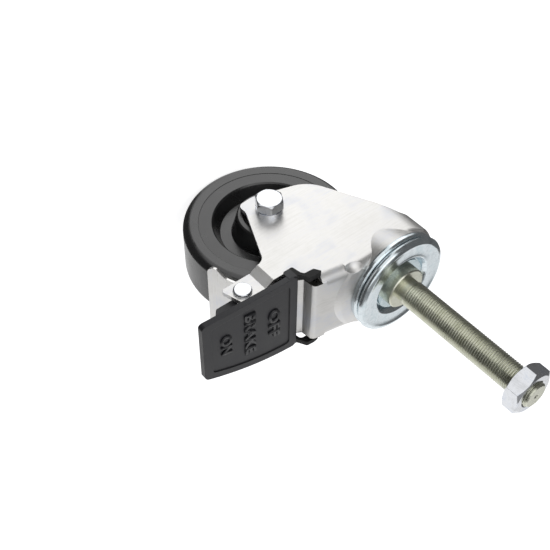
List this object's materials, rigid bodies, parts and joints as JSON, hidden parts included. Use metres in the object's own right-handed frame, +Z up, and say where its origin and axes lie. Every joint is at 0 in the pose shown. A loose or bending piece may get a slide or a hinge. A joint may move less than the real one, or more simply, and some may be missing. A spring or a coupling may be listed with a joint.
{
  "type": "swivel castor",
  "caption": "Swivel castor with a threaded stem and nut, a pressed steel fork on ball races, a black wheel on a bolted axle and a foot pedal that works a tread brake.",
  "frame": {"origin": "the swivel axis in the top face of the stem's collar, where the carried object rests", "axes": "+Z up the threaded stem; +X the way the wheel trails, towards the pedal; -Y the side of the axle bolt's head"},
  "size_m": [0.1502, 0.071, 0.224],
  "materials": {
    "zinc": "bright zinc plate",
    "olive_zinc": "bright zinc plate with a warm cast",
    "hard_steel": "polished",
    "tread": "smooth satin",
    "wheel_plastic": "moulded satin",
    "bush_plastic": "moulded",
    "pedal_plastic": "moulded satin"
  },
  "bodies": {
    "stem": {"stem": "olive_zinc", "top_cap": "zinc", "seat_washer": "zinc", "lower_race": "zinc", "king_washer": "zinc", "king_nut": "zinc"},
    "nut": {"stem_nut": "zinc"},
    "fork": {"fork": "zinc", "raceway_ring": "zinc", "upper_balls": "hard_steel", "lower_balls": "hard_steel", "axle_bolt": "zinc", "axle_lock_washer": "zinc", "axle_washer": "zinc", "axle_nut": "zinc", "axle_sleeve": "zinc", "brake_pin": "zinc"},
    "wheel": {"wheel_core": "wheel_plastic", "tyre": "tread", "bush_near": "bush_plastic", "bush_far": "bush_plastic"},
    "brake": {"brake_lever": "zinc", "brake_pedal": "pedal_plastic", "pedal_screws": "zinc"}
  },
  "joints": [
    {"name": "swivel", "type": "hinge", "parent": "stem", "child": "fork", "pos_m": [0, 0, 0], "axis": [0, 0, 1], "continuous": true},
    {"name": "wheel_spin", "type": "hinge", "parent": "fork", "child": "wheel", "pos_m": [0.036, 0, -0.0785], "axis": [0, 1, 0], "continuous": true},
    {"name": "brake_rock", "type": "hinge", "parent": "fork", "child": "brake", "pos_m": [0.0844, 0, -0.041], "axis": [0, 1, 0], "range_deg": [0, 7.2]},
    {"name": "nut_travel", "type": "slide", "parent": "stem", "child": "nut", "axis": [0, 0, 1], "range_m": [-0.0795, 0.01]}
  ]
}
